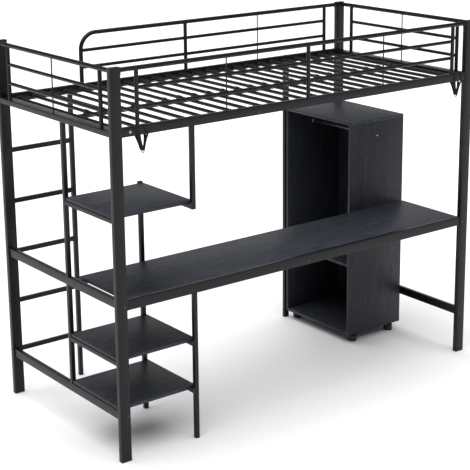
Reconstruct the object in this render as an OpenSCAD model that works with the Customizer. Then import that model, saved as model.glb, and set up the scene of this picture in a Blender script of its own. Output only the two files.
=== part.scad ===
/* [Overall] */
// Length over the posts
bed_l = 2080; // [1900:10:2300]
// Width over the posts
bed_w = 965; // [860:5:1200]
// Height to the top of the post caps
bed_h = 1705; // [1640:5:2000]

/* [Posts] */
// Post tube size along the bed's length
post_x = 50; // [40:1:60]
// Post tube size across the bed
post_y = 25; // [22:1:40]
// Wall of the post tube
post_wall = 1.5; // [1:0.1:2.5]
// Length of the sleeve that joins an upper post to its leg
sleeve_l = 140; // [80:5:200]
// Thickness of a plastic cap's rim
cap_t = 3; // [2:0.5:6]
// Length of a plastic cap's plug inside its tube
plug_l = 18; // [10:1:30]
// Gap between a plug or sleeve and the tube around it
plug_gap = 0.2; // [0.1:0.1:1]

/* [Guard rails] */
// Height from the side rails' top to the top of the post caps
guard_h = 250; // [200:5:400]
// Distance between the side guards' rails
side_gap = 80; // [65:1:95]
// Distance between the end guards' rails
end_gap = 86; // [65:1:95]
// Outer diameter of the top rails
top_rail_d = 20; // [18:1:24]
// Outer diameter of the two lower rails
mid_rail_d = 16; // [14:1:18]
// Outer diameter of the guard uprights
upright_d = 18; // [17:1:22]
// Diameter of the thin rods
rod_d = 6; // [5:1:10]
// Wall of the guard tubes
guard_wall = 1.2; // [0.8:0.1:2]
// Outer face of a post to the nearest end-guard upright
end_upright_in = 97; // [70:1:160]
// Outer face of a post to the nearest side-guard upright
side_upright_in = 132; // [100:1:180]
// Middle of the back guard's bent end from the left outer face
entry_x = 439; // [400:1:520]
// Bend radius of the back guard's end
entry_bend_r = 80; // [40:5:120]

/* [Bed frame] */
// Depth of the side rails
rail_h = 40; // [30:1:60]
// Thickness of the side rails
rail_t = 20; // [16:1:22]
// Wall of the rails and bars
bar_wall = 1.2; // [0.8:0.1:2]
// Thickness of the flat end rail between the upper posts
end_rail_t = 25; // [16:1:30]
// Number of slats, with the two bearers
slat_n = 24; // [16:1:28]
// Outer face of a post to the first slat's middle
slat_in = 93.5; // [80:0.5:140]
// Outer diameter of a slat
slat_d = 16; // [12:1:20]
// Height from the rail's top down to the slats' top
slat_drop = 17; // [8:1:20]
// Side of the square centre bar under the slats
centre_bar = 18; // [14:1:25]

/* [Ladder] */
// Side of the square ladder and shelf posts
thin_post = 20; // [16:1:22]
// Left outer face to the ladder upright's left face
ladder_x = 360; // [330:1:390]
// Height of the lowest rung's middle above the floor
rung_first = 220; // [150:5:300]
// Height of a rung
rung_h = 21; // [20:1:30]
// Width of a rung
rung_w = 18; // [14:1:20]

/* [Lower frame] */
// Depth of the lower crossbars
cross_h = 40; // [25:1:45]
// Thickness of the lower crossbars
cross_t = 20; // [16:1:22]
// Post's outer face to the crossbar's outer face
cross_in = 7; // [4:1:12]
// Underside of the bottom crossbars above the floor
bottom_z = 190; // [120:5:260]
// Right outer face to the back middle post's left face
back_post_in = 412; // [300:1:600]
// Back middle post's size along the bed's length
back_post_w = 30; // [25:1:40]

/* [Desk and shelves] */
// Height of the desk's top face
desk_z = 722; // [680:1:760]
// Back edge of the desk from the front outer face
desk_d = 405; // [330:1:410]
// Depth of the desk's front beam
beam_h = 45; // [35:1:60]
// Thickness of the boards
board_t = 15; // [12:1:25]
// Gap between the left posts and the desk board
board_left_gap = 14; // [6:1:30]
// Gap beside a board
board_gap = 6; // [1:0.5:10]
// Right face of the shelf tower's posts
tower_x = 410; // [370:1:560]
// Gap from the desk's back edge to the shelf tower's back posts
tower_gap = 3; // [1:0.5:10]
// Side rails' underside down to the upper shelf's top face
shelf_drop = 326; // [250:1:420]
// Top face of the middle shelf
shelf_mid_z = 466; // [380:1:560]

/* [Wardrobe] */
// Right outer face to the wardrobe's right face
cab_in = 42; // [30:1:200]
// Size of the wardrobe along the bed's length
cab_l = 366; // [300:1:370]
// Gap between the desk's back edge and the wardrobe
cab_front_gap = 22; // [5:1:60]
// Gap from the wardrobe to the back outer face
cab_back_gap = 30; // [25:1:80]
// Side rails' underside down to the wardrobe's top
cab_headroom = 237; // [60:1:400]
// Thickness of the wardrobe's back panel
back_t = 4; // [3:0.5:8]
// Height of the wardrobe's feet
foot_h = 44; // [25:1:60]
// Diameter of the wardrobe's feet
foot_d = 46; // [35:1:60]
// Top face of the wardrobe's shelf
cab_shelf_z = 427; // [350:1:550]
// Outer diameter of the clothes rail
hang_d = 22; // [16:1:28]
// Wardrobe top down to the clothes rail's middle
hang_drop = 88; // [50:1:120]

/* [Straps and fasteners] */
// Width of the strap webbing
strap_w = 18; // [15:1:25]
// Thickness of the strap webbing
strap_t = 2; // [1.2:0.1:2.4]
// Hanging length of a strap's loop below the rail
strap_drop = 72; // [50:1:120]
// Bore of the ring at a strap's tip
eyelet_bore = 8; // [6:0.5:12]
// Diameter of a bolt's shank
bolt_d = 6; // [5:0.5:8]
// Diameter of a bolt's head
head_d = 13; // [10:0.5:16]
// Height of a bolt's head
head_h = 2.5; // [1.5:0.1:4]

/* [Hidden] */
$fn = 48;

steel = [0.16, 0.16, 0.17];
plastic = [0.09, 0.09, 0.09];
board = [0.20, 0.20, 0.21];
webbing = [0.06, 0.06, 0.06];
zinc = [0.62, 0.62, 0.64];

over = 1;                                  // how far a cut runs past a face
fit = 0.4;                                 // a bolt hole's extra diameter
plate_t = 3;                               // end plates welded into the bars
post_top = bed_h - cap_t;
rail_top = bed_h - guard_h;
top_rail_z = post_top - top_rail_d / 2 - 0.5;
joint_drop = 8;                            // end rail's underside to the post joint
rail_y = (post_y - rail_t) / 2;            // side rail's outer face
rail_bottom = rail_top - rail_h;
rail_mid = rail_top - rail_h / 2;
end_rail_top = rail_top - 10;
end_rail_bottom = end_rail_top - end_rail_t;
joint_z = end_rail_bottom - joint_drop;
guard_in = post_y / 2;                     // guard tubes' middle from the outer face
side_mid_zs = [top_rail_z - side_gap, top_rail_z - 2 * side_gap];
end_mid_zs = [top_rail_z - end_gap, top_rail_z - 2 * end_gap];
slat_z = rail_top - slat_drop - slat_d / 2;
slat_pitch = (bed_l - 2 * slat_in) / (slat_n - 1);
slat_xs = [for (i = [0:slat_n - 1]) slat_in + i * slat_pitch];
back_bolt_xs = [ladder_x + thin_post / 2, bed_l - back_post_in + back_post_w / 2];
bearer_is = [round(slat_n / 3), round(slat_n * 2 / 3) - 1];
bearer_xs = [for (i = bearer_is) slat_xs[i]];
plain_xs = [for (i = [0:slat_n - 1]) if (i != bearer_is[0] && i != bearer_is[1]) slat_xs[i]];
cup_l = 12;                                // depth of a slat's end cup
cup_wall = 2;
inner_y = [rail_y + rail_t, bed_w - rail_y - rail_t];
thin_y = rail_y + (rail_t - thin_post) / 2;
rung_n = 5;
rung_pitch = (rail_mid - rung_first) / rung_n;
rung_zs = [for (i = [0:rung_n - 1]) rung_first + i * rung_pitch];
back_post_x = bed_l - back_post_in;
rung_y = bed_w - guard_in;
beam_bottom = desk_z - beam_h;
beam_y = [post_y - rail_t, post_y];
desk_under = desk_z - board_t;
desk_x = [post_x + board_left_gap, bed_l - post_x - board_gap];
desk_bar = 20;                             // side of the square bars under the desk board
brace_n = 3;                               // odd, so one brace stands in the middle
tower_past = 4;                            // how far the tower's back post passes its shelf
desk_cross_z = [desk_under - 17, desk_under - 17 + cross_h];
end_bar_z = [beam_bottom + 2, beam_bottom + 2 + desk_bar];
shelf_bar = 20;                            // depth of the bars under the shelves
shelf_gap = 2;                             // between a shelf and the posts at its corners
tower_in_y = desk_d + tower_gap;
tower_y = tower_in_y + thin_post;
shelf_x = [cross_in + 3, tower_x - 2];
shelf_y = [post_y + shelf_gap, tower_in_y - shelf_gap];
shelf_top_z = rail_bottom - shelf_drop;
side_x = [bed_l - cab_in - cab_l, bed_l - cab_in];
side_y = [desk_d + cab_front_gap, bed_w - cab_back_gap];
cab_h = rail_bottom - cab_headroom;
foot_in = [55, 30];                        // a foot's middle from the wardrobe's faces
hang_z = cab_h - hang_drop;
hang_x = side_x[0] + cab_l / 2;
strap_gap = 0.3;                           // between a strap and the rail
strap_xs = [side_upright_in + 23, bed_l - side_upright_in + 34];
ring_wall = 3;
ring_t = 4;
eyelet_z = rail_bottom - strap_drop;

// Everything is laid out from the front left corner, then centred
module placed() {
  translate([-bed_l / 2, -bed_w / 2, 0]) children();
}

module mirrored_x() {
  translate([bed_l, 0, 0]) mirror([1, 0, 0]) children();
}

module mirrored_y() {
  translate([0, bed_w, 0]) mirror([0, 1, 0]) children();
}

module at_corners() {
  children();
  mirrored_x() children();
  mirrored_y() children();
  mirrored_x() mirrored_y() children();
}

module block(x, y, z) {
  translate([x[0], y[0], z[0]]) cube([x[1] - x[0], y[1] - y[0], z[1] - z[0]]);
}

// Rectangular tubes along X and along Z, open at both ends
module tube_x(x, y, z, w) {
  difference() {
    block(x, y, z);
    block([x[0] - over, x[1] + over], [y[0] + w, y[1] - w], [z[0] + w, z[1] - w]);
  }
}

module tube_z(x, y, z, w) {
  difference() {
    block(x, y, z);
    block([x[0] + w, x[1] - w], [y[0] + w, y[1] - w], [z[0] - over, z[1] + over]);
  }
}

module rod_x(x, y, z, d) {
  translate([x[0], y, z]) rotate([0, 90, 0]) cylinder(d = d, h = x[1] - x[0]);
}

module rod_y(x, y, z, d) {
  translate([x, y[0], z]) rotate([-90, 0, 0]) cylinder(d = d, h = y[1] - y[0]);
}

module rod_z(x, y, z, d) {
  translate([x, y, z[0]]) cylinder(d = d, h = z[1] - z[0]);
}

// Bolts, with the head's underside at the face they are driven from
module bolt_y(x, y, z, l) {
  rod_y(x, [y - head_h, y], z, head_d);
  rod_y(x, [y - over / 2, y + l], z, bolt_d);
}

module bolt_x(x, y, z, l) {
  rod_x([x - head_h, x], y, z, head_d);
  rod_x([x - over / 2, x + l], y, z, bolt_d);
}

// A bar along Y, closed by a plate at each end
module closed_bar(x, y, z) {
  difference() {
    block(x, y, z);
    block([x[0] + bar_wall, x[1] - bar_wall], [y[0] + plate_t, y[1] - plate_t],
          [z[0] + bar_wall, z[1] - bar_wall]);
  }
}

bolt_in = 36;                              // a leg's bolts from the outer face
tab_half = 9;                              // from a bolt to the edge of its tab
bottom_mid = bottom_z + cross_h / 2;
desk_bolt_z = desk_under - tab_half - 1;
bolt_reach = post_y + 2 * plate_t + 4;

// A bar between two legs, with a drilled tab behind each leg, drawn at the left end
module crossbar(z, bolt_z) {
  y = [post_y, bed_w - post_y];
  tab = [cross_in, post_x - 1];
  tab_z = [bolt_z - tab_half, bolt_z + tab_half];
  difference() {
    union() {
      closed_bar([cross_in, cross_in + cross_t], y, z);
      block(tab, [y[0], y[0] + plate_t], tab_z);
      block(tab, [y[1] - plate_t, y[1]], tab_z);
    }
    rod_y(bolt_in, [y[0] - over, y[0] + plate_t + over], bolt_z, bolt_d + fit);
    rod_y(bolt_in, [y[1] - plate_t - over, y[1] + over], bolt_z, bolt_d + fit);
  }
}

// A leg drawn at the front left corner
module leg(rungs = false) {
  difference() {
    tube_z([0, post_x], [0, post_y], [cap_t, joint_z], post_wall);
    for (z = [bottom_mid, desk_bolt_z]) rod_y(bolt_in, [-over, post_y + over], z, bolt_d + fit);
    if (rungs) for (z = rung_zs)
      rod_x([-over, post_x + over], guard_in, z, bolt_d + fit);
  }
}

module front_left_leg() {
  color(steel) placed() leg();
}

module back_left_leg() {
  color(steel) placed() mirrored_y() leg(rungs = true);
}

module front_right_leg() {
  color(steel) placed() mirrored_x() leg();
}

module back_right_leg() {
  color(steel) placed() mirrored_x() mirrored_y() leg();
}

module post_sleeves() {
  inset = post_wall + plug_gap;
  color(steel) placed() at_corners()
    tube_z([inset, post_x - inset], [inset, post_y - inset],
           [joint_z - sleeve_l / 2, joint_z + sleeve_l / 2], post_wall);
}

// A rim over a tube's end and a plug inside it; dir is 1 at a top and -1 at a foot
module cap(x, y, wall, z, dir) {
  inset = wall + plug_gap;
  block([0, x], [0, y], dir > 0 ? [z, z + cap_t] : [z - cap_t, z]);
  block([inset, x - inset], [inset, y - inset], dir > 0 ? [z - plug_l, z] : [z, z + plug_l]);
}

module post_top_caps() {
  inset = post_wall + plug_gap;
  color(plastic) placed() at_corners() {
    block([0, post_x], [0, post_y], [post_top, bed_h]);
    block([inset, post_x - inset], [inset, post_y - inset], [post_top - plug_l, post_top]);
  }
}

module post_foot_caps() {
  color(plastic) placed() at_corners() cap(post_x, post_y, post_wall, cap_t, -1);
}

module thin_post_foot_caps() {
  color(plastic) placed() {
    translate([ladder_x, bed_w - thin_y - thin_post, 0])
      cap(thin_post, thin_post, bar_wall, cap_t, -1);
    for (y = [thin_y, tower_in_y]) translate([tower_x - thin_post, y, 0])
      cap(thin_post, thin_post, bar_wall, cap_t, -1);
    translate([back_post_x, bed_w - rail_y - rail_t, 0])
      cap(back_post_w, rail_t, bar_wall, cap_t, -1);
  }
}

rod_head = top_rail_z - top_rail_d / 2 + guard_wall;
spigot_l = 60;                             // how far a spigot reaches into a side rail
spigot_gap = 0.3;
spigot_bolt = 40;                          // from the post to the bolt through the spigot

// The plug on an upper post that a side rail slides over, drawn at the front left
module spigot() {
  inset = bar_wall + spigot_gap;
  difference() {
    block([post_x - over, post_x + spigot_l], [rail_y + inset, rail_y + rail_t - inset],
          [rail_bottom + inset, rail_top - inset]);
    rod_y(post_x + spigot_bolt, [0, post_y], rail_mid, bolt_d + fit);
  }
}

// The welded frame at each end: upper posts, flat end rail and end guard
module end_frame() {
  guard_y = [end_upright_in, bed_w - end_upright_in];
  w = post_wall;
  bore = 2 * guard_wall;
  difference() {
    union() {
      for (y = [0, bed_w - post_y]) block([0, post_x], [y, y + post_y], [joint_z, post_top]);
      block([0, post_x], [post_y - over, bed_w - post_y + over], [end_rail_bottom, end_rail_top]);
      rod_y(guard_in, [post_y - over, bed_w - post_y + over], top_rail_z, top_rail_d);
      for (z = end_mid_zs) rod_y(guard_in, guard_y, z, mid_rail_d);
      for (y = guard_y) rod_z(guard_in, y, [end_rail_top - over, top_rail_z], upright_d);
    }
    for (y = [0, bed_w - post_y])
      block([w, post_x - w], [y + w, y + post_y - w], [joint_z - over, post_top + over]);
    block([w, post_x - w], [post_y - w - over, bed_w - post_y + w + over],
          [end_rail_bottom + w, end_rail_top - w]);
    rod_y(guard_in, [post_y - w - over, bed_w - post_y + w + over], top_rail_z, top_rail_d - bore);
    for (z = end_mid_zs) rod_y(guard_in, guard_y, z, mid_rail_d - bore);
    for (y = guard_y) rod_z(guard_in, y, [end_rail_top - w - over, top_rail_z], upright_d - bore);
  }
  rod_z(guard_in, bed_w / 2, [end_rail_top - w / 2, rod_head], rod_d);
  spigot();
  mirrored_y() spigot();
}

module left_upper_frame() {
  color(steel) placed() end_frame();
}

module right_upper_frame() {
  color(steel) placed() mirrored_x() end_frame();
}

// A side rail with its bolt holes, drawn at the front
module side_rail(post_bolt_xs) {
  x = [post_x, bed_l - post_x];
  y = [rail_y, rail_y + rail_t];
  difference() {
    block(x, y, [rail_bottom, rail_top]);
    block([x[0] - over, x[1] + over], [y[0] + bar_wall, y[1] - bar_wall],
          [rail_bottom + bar_wall, rail_top - bar_wall]);
    for (x = bearer_xs) rod_y(x, [y[0] - over, y[1] + over], slat_z, bolt_d + fit);
    for (x = [x[0] + spigot_bolt, x[1] - spigot_bolt])
      rod_y(x, [y[0] - over, y[0] + rail_t / 2], rail_mid, bolt_d + fit);
    for (x = post_bolt_xs)
      rod_z(x, guard_in, [rail_bottom - over, rail_top + over], bolt_d + fit);
  }
}

module front_side_rail() {
  color(steel) placed() side_rail([tower_x - thin_post / 2]);
}

module back_side_rail() {
  color(steel) placed() mirrored_y() side_rail(back_bolt_xs);
}

module cross_bearers() {
  color(steel) placed() for (x = bearer_xs) difference() {
    rod_y(x, inner_y, slat_z, slat_d);
    rod_y(x, [inner_y[0] + plate_t, inner_y[1] - plate_t], slat_z, slat_d - 2 * bar_wall);
    rod_y(x, [inner_y[0] - over, inner_y[1] + over], slat_z, bolt_d + fit);
  }
}

module slats() {
  y = [inner_y[0] + cup_wall, inner_y[1] - cup_wall];
  color(steel) placed() for (x = plain_xs) difference() {
    rod_y(x, y, slat_z, slat_d);
    rod_y(x, [y[0] - over, y[1] + over], slat_z, slat_d - 2 * bar_wall);
  }
}

// A cup on the rail's inner face holds each slat's end
module slat_cup(x) {
  difference() {
    rod_y(x, [inner_y[0], inner_y[0] + cup_l], slat_z, slat_d + 2 * cup_wall);
    rod_y(x, [inner_y[0] + cup_wall, inner_y[0] + cup_l + over], slat_z, slat_d);
  }
}

module slat_end_cups() {
  color(plastic) placed() for (x = plain_xs) {
    slat_cup(x);
    mirrored_y() slat_cup(x);
  }
}

centre_top = slat_z - slat_d / 2;
centre_past = 25;                          // how far the centre bar runs past the end slats
centre_x = [slat_xs[0] - centre_past, slat_xs[slat_n - 1] + centre_past];

module centre_bar() {
  y = bed_w / 2;
  color(steel) placed()
    tube_x(centre_x, [y - centre_bar / 2, y + centre_bar / 2], [centre_top - centre_bar, centre_top],
           bar_wall);
}

// A saddle over each slat that clips down on the centre bar's sides
module centre_clips() {
  wall = 2.5;
  jaw_z = centre_top - centre_bar * 0.7;   // the saddle's lower edge
  y = [bed_w / 2 - centre_bar / 2, bed_w / 2 + centre_bar / 2];
  half = slat_d / 2 + wall;
  color(plastic) placed() for (x = slat_xs) difference() {
    union() {
      rod_y(x, [y[0] - wall, y[1] + wall], slat_z, slat_d + 2 * wall);
      block([x - half, x + half], [y[0] - wall, y[1] + wall], [jaw_z, slat_z]);
    }
    rod_y(x, [y[0] - wall - over, y[1] + wall + over], slat_z, slat_d);
    block([x - half - over, x + half + over], y, [centre_top - centre_bar - over, centre_top]);
  }
}

// End plates that bolt the side guards' top rails to the posts
module guard_plate(x) {
  block([x, x + plate_t], [guard_in - top_rail_d / 2, guard_in + top_rail_d / 2],
        [top_rail_z - top_rail_d, top_rail_z + top_rail_d / 2]);
}

module guard_rails(x, grow, top) {
  rod_x(top, guard_in, top_rail_z, top_rail_d - grow);
  for (z = side_mid_zs) rod_x(x, guard_in, z, mid_rail_d - grow);
}

module guard_posts(xs, grow, foot) {
  for (x = xs) rod_z(x, guard_in, [foot, top_rail_z], upright_d - grow);
}

side_xs = [side_upright_in, bed_l / 2, bed_l - side_upright_in];
module front_guard() {
  x = [side_xs[0], side_xs[2]];
  top = [post_x, bed_l - post_x];
  color(steel) placed() {
    difference() {
      union() {
        guard_rails(x, 0, top);
        guard_posts(side_xs, 0, rail_top);
        guard_plate(post_x);
        guard_plate(bed_l - post_x - plate_t);
      }
      guard_rails(x, 2 * guard_wall, [top[0] - over, top[1] + over]);
      guard_posts(side_xs, 2 * guard_wall, rail_top - over);
    }
    for (i = [0, 1])
      rod_z((side_xs[i] + side_xs[i + 1]) / 2, guard_in, [rail_top, rod_head], rod_d);
  }
}

// The quarter bend at the ladder end of the back guard
module entry_bend(grow) {
  translate([entry_x + entry_bend_r, guard_in, top_rail_z - entry_bend_r])
    rotate([90, 0, 0]) rotate([0, 0, 90]) rotate_extrude(angle = 90)
      translate([entry_bend_r, 0]) circle(d = top_rail_d - grow);
}

module back_tubes(grow, past) {
  x = [entry_x, side_xs[2]];
  guard_rails(x, grow, [entry_x + entry_bend_r, bed_l - post_x + past]);
  guard_posts([side_xs[1], side_xs[2]], grow, rail_top - past);
  entry_bend(grow);
  rod_z(entry_x, guard_in, [rail_top - past, top_rail_z - entry_bend_r], top_rail_d - grow);
}

module back_guard() {
  color(steel) placed() mirrored_y() {
    difference() {
      union() {
        back_tubes(0, 0);
        guard_plate(bed_l - post_x - plate_t);
      }
      back_tubes(2 * guard_wall, over);
    }
    rod_z((side_xs[1] + side_xs[2]) / 2, guard_in, [rail_top, rod_head], rod_d);
  }
}

// Closes a thin post's top, drilled for the bolt that hangs it from its side rail
module hung_post(x, y, z) {
  mid = [(x[0] + x[1]) / 2, (y[0] + y[1]) / 2];
  difference() {
    union() {
      tube_z(x, y, z, bar_wall);
      block(x, y, [z[1] - plate_t, z[1]]);
    }
    rod_z(mid[0], mid[1], [z[1] - plate_t - over, z[1] + over], bolt_d + fit);
  }
}

// Ladder at the back left
module ladder_upright() {
  x = [ladder_x, ladder_x + thin_post];
  y = [bed_w - thin_y - thin_post, bed_w - thin_y];
  color(steel) placed() difference() {
    hung_post(x, y, [cap_t, rail_bottom]);
    for (z = rung_zs) rod_x([x[0] - over, x[1] + over], rung_y, z, bolt_d + fit);
  }
}

module rung(i) {
  x = [post_x, ladder_x];
  y = [rung_y - rung_w / 2, rung_y + rung_w / 2];
  z = [rung_zs[i] - rung_h / 2, rung_zs[i] + rung_h / 2];
  color(steel) placed() difference() {
    block(x, y, z);
    block([x[0] + plate_t, x[1] - plate_t], [y[0] + bar_wall, y[1] - bar_wall],
          [z[0] + bar_wall, z[1] - bar_wall]);
    rod_x([x[0] - over, x[1] + over], rung_y, rung_zs[i], bolt_d + fit);
  }
}

// Lower frame
module back_middle_post() {
  color(steel) placed()
    hung_post([back_post_x, back_post_x + back_post_w], [bed_w - rail_y - rail_t, bed_w - rail_y],
              [cap_t, rail_bottom]);
}

module left_bottom_crossbar() {
  color(steel) placed() crossbar([bottom_z, bottom_z + cross_h], bottom_mid);
}

module right_bottom_crossbar() {
  color(steel) placed() mirrored_x() crossbar([bottom_z, bottom_z + cross_h], bottom_mid);
}

module left_desk_crossbar() {
  color(steel) placed() crossbar(desk_cross_z, desk_bolt_z);
}

module right_desk_crossbar() {
  color(steel) placed() mirrored_x() crossbar(end_bar_z, desk_bolt_z);
}

module left_middle_post(z) {
  tube_z([cross_in, cross_in + thin_post], [tower_in_y, tower_y], z, bar_wall);
}

module left_middle_post_lower() {
  color(steel) placed() left_middle_post([bottom_z + cross_h, desk_cross_z[0]]);
}

module left_middle_post_upper() {
  color(steel) placed() left_middle_post([desk_cross_z[1], end_rail_bottom]);
}

// Shelf tower
tower_post_x = [tower_x - thin_post, tower_x];

module tower_back_post() {
  color(steel) placed()
    tube_z(tower_post_x, [tower_in_y, tower_y], [cap_t, shelf_top_z + tower_past], bar_wall);
}

module tower_front_post() {
  color(steel) placed()
    tube_z(tower_post_x, [thin_y, thin_y + thin_post], [cap_t, beam_bottom], bar_wall);
}

module tower_hanging_post() {
  color(steel) placed()
    hung_post(tower_post_x, [thin_y, thin_y + thin_post],
              [shelf_top_z - board_t - shelf_bar, rail_bottom]);
}

// Bars under the shelves; the left bottom crossbar carries the bottom shelf's other side
module shelf_bearers() {
  left = [cross_in, cross_in + cross_t];
  inner = [thin_y + thin_post, tower_in_y];
  color(steel) placed() {
    for (top = [shelf_top_z - board_t, shelf_mid_z - board_t]) {
      closed_bar(left, [post_y, tower_in_y], [top - shelf_bar, top]);
      closed_bar(tower_post_x, inner, [top - shelf_bar, top]);
    }
    closed_bar(tower_post_x, inner, [bottom_z + cross_h - shelf_bar, bottom_z + cross_h]);
  }
}

// Desk
module desk_beam_tab() {
  z = [desk_bolt_z - tab_half, desk_bolt_z + tab_half];
  tab_end = post_x + 30;
  difference() {
    union() {
      block([cross_in + cross_t + 1, tab_end], [post_y + plate_t, post_y + 2 * plate_t], z);
      block([post_x, tab_end], [post_y - over, post_y + 2 * plate_t], z);
    }
    rod_y(bolt_in, [post_y, post_y + 3 * plate_t], desk_bolt_z, bolt_d + fit);
  }
}

module desk_front_beam() {
  color(steel) placed() difference() {
    union() {
      tube_x([post_x, bed_l - post_x], beam_y, [beam_bottom, desk_z], bar_wall);
      desk_beam_tab();
      mirrored_x() desk_beam_tab();
    }
    rod_y(bed_l / 2, [0, post_y + over], desk_bolt_z, bolt_d + fit);
  }
}

back_beam_y = [desk_d - desk_bar - 2, desk_d - 2];

module desk_back_beam() {
  color(steel) placed()
    tube_x([cross_in + cross_t, bed_l - cross_in - cross_t], back_beam_y,
           [desk_under - desk_bar, desk_under], bar_wall);
}

// Bars from the front beam to the back beam; the middle one is bolted to the front beam
module desk_braces() {
  y = [post_y, back_beam_y[0]];
  step = (bed_l - 2 * tower_x) / (brace_n - 1);
  color(steel) placed() difference() {
    for (i = [0:brace_n - 1]) {
      x = tower_x + i * step;
      closed_bar([x - desk_bar / 2, x + desk_bar / 2], y, [desk_under - desk_bar, desk_under]);
    }
    rod_y(bed_l / 2, [y[0] - over, y[0] + plate_t + over], desk_bolt_z, bolt_d + fit);
  }
}

module desk_top() {
  color(board) placed() block(desk_x, [beam_y[1], desk_d], [desk_under, desk_z]);
}

// Shelves
module shelf(top) {
  color(board) placed() block(shelf_x, shelf_y, [top - board_t, top]);
}

module upper_shelf() {
  shelf(shelf_top_z);
}

module middle_shelf() {
  shelf(shelf_mid_z);
}

module bottom_shelf() {
  shelf(bottom_z + cross_h + board_t);
}

// Wardrobe, open towards the desk chair
side_z = [foot_h, cab_h - board_t];

hang_screw_d = 4;
hang_head_d = 9;
hang_head_h = 1.5;

module wardrobe_side(y) {
  color(board) placed() difference() {
    block(side_x, [y, y + board_t], side_z);
    rod_y(hang_x, [y - over, y + board_t + over], hang_z, hang_screw_d + fit);
  }
}

module wardrobe_near_panel() {
  wardrobe_side(side_y[0]);
}

module wardrobe_far_panel() {
  wardrobe_side(side_y[1] - board_t);
}

module wardrobe_top() {
  color(board) placed() block(side_x, side_y, [side_z[1], cab_h]);
}

inner_cab_y = [side_y[0] + board_t, side_y[1] - board_t];
inner_cab_x = [side_x[0], side_x[1] - back_t];

module wardrobe_bottom() {
  color(board) placed() block(inner_cab_x, inner_cab_y, [side_z[0], side_z[0] + board_t]);
}

module wardrobe_back() {
  color(board) placed()
    block([inner_cab_x[1], side_x[1]], inner_cab_y, [side_z[0], side_z[1]]);
}

module wardrobe_shelf() {
  front_gap = 12;                          // the shelf stands back from the open front
  color(board) placed()
    block([inner_cab_x[0] + front_gap, inner_cab_x[1]], inner_cab_y,
          [cab_shelf_z - board_t, cab_shelf_z]);
}

hang_cup_t = 3;

module clothes_rail() {
  y = [inner_cab_y[0] + hang_cup_t, inner_cab_y[1] - hang_cup_t];
  color(zinc) placed() difference() {
    rod_y(hang_x, y, hang_z, hang_d);
    rod_y(hang_x, [y[0] - over, y[1] + over], hang_z, hang_d - 2 * guard_wall);
  }
}

// A round cup inside each side panel holds the clothes rail; its screw goes through the panel
module clothes_rail_cup(y, dir) {
  depth = 12;
  flange_d = hang_d + 8;
  a = dir > 0 ? [y, y + depth] : [y - depth, y];
  b = dir > 0 ? [y + hang_cup_t, y + depth + over] : [y - depth - over, y - hang_cup_t];
  face = y - dir * board_t;
  shank = dir > 0 ? [face - over / 2, y + over] : [y - over, face + over / 2];
  head = dir > 0 ? [face - hang_head_h, face] : [face, face + hang_head_h];
  difference() {
    rod_y(hang_x, a, hang_z, flange_d);
    rod_y(hang_x, b, hang_z, hang_d);
  }
  rod_y(hang_x, shank, hang_z, hang_screw_d);
  rod_y(hang_x, head, hang_z, hang_head_d);
}

module clothes_rail_cups() {
  color(zinc) placed() {
    clothes_rail_cup(inner_cab_y[0], 1);
    clothes_rail_cup(inner_cab_y[1], -1);
  }
}

module wardrobe_foot() {
  r = foot_d / 2;
  edge = 4;
  body_h = foot_h * 0.75;
  neck_r = r * 0.55;
  rotate_extrude() {
    square([r - edge, body_h]);
    translate([0, edge]) square([r, body_h - edge]);
    translate([r - edge, edge]) circle(r = edge);
    square([neck_r, foot_h]);
  }
}

module wardrobe_feet() {
  color(plastic) placed()
    for (x = [side_x[0] + foot_in[0], side_x[1] - foot_in[0]],
         y = [side_y[0] + foot_in[1], side_y[1] - foot_in[1]])
      translate([x, y, 0]) wardrobe_foot();
}

// A flat sheet in the XZ plane, from its outline and its faces along Y
module sheet_y(points, y) {
  translate([0, y[1], 0]) rotate([90, 0, 0]) linear_extrude(y[1] - y[0]) polygon(points);
}

// One leg of a strap: webbing round the rail, then down to the tip. The numbers are left
// edges: over the rail, under the rail and at the tip, with the leg's width
module strap_leg(over_x, under_x, tip_x, w) {
  y = [rail_y - strap_gap, rail_y + rail_t + strap_gap];
  z = [rail_bottom - strap_gap, rail_top + strap_gap];
  side = [[over_x, z[1]], [over_x + w, z[1]], [under_x + w, z[0]], [under_x, z[0]]];
  fold_x = [min(over_x, under_x), max(over_x, under_x) + w];
  mid_y = rail_y + rail_t / 2;
  sheet_y(side, [y[0] - strap_t, y[0]]);
  block([over_x, over_x + w], [y[1], y[1] + strap_t], [z[0] - strap_t, z[1] + strap_t]);
  block([over_x, over_x + w], [y[0] - strap_t, y[1] + strap_t], [z[1], z[1] + strap_t]);
  block(fold_x, [y[0] - strap_t, y[1] + strap_t], [z[0] - strap_t, z[0]]);
  sheet_y([[under_x, z[0] - strap_t / 2], [under_x + w, z[0] - strap_t / 2],
           [tip_x + w, eyelet_z], [tip_x, eyelet_z]], [mid_y - strap_t, mid_y + strap_t]);
}

// A wall anchor strap with its tip at x. For the broad and the narrow leg, over_xs and
// under_xs hold the left edge over the rail and under it
module anchor_strap(x, over_xs, under_xs) {
  narrow = strap_w * 0.6;
  lap = [11, 1];                           // the legs' left edges at the tip
  y = rail_y + rail_t / 2;
  color(webbing) placed() difference() {
    union() {
      strap_leg(over_xs[0], under_xs[0], x - lap[0], strap_w);
      strap_leg(over_xs[1], under_xs[1], x - lap[1], narrow);
      rod_y(x, [y - strap_t, y + strap_t], eyelet_z, strap_w + 2);
    }
    rod_y(x, [y - 2 * strap_t, y + 2 * strap_t], eyelet_z, eyelet_bore + 2 * ring_wall);
  }
}

// The legs pass between the upright and the slats' end cups
strap_clear = 0.6;
broad_in = side_upright_in - upright_d / 2 - strap_clear;

module anchor_strap_left() {
  x = strap_xs[0];
  anchor_strap(x, [broad_in - strap_w, x - 3], [x - 34, x + 12]);
}

module anchor_strap_right() {
  x = strap_xs[1];
  anchor_strap(x, [bed_l - broad_in, x + 16], [x - 34, x + 16]);
}

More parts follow.
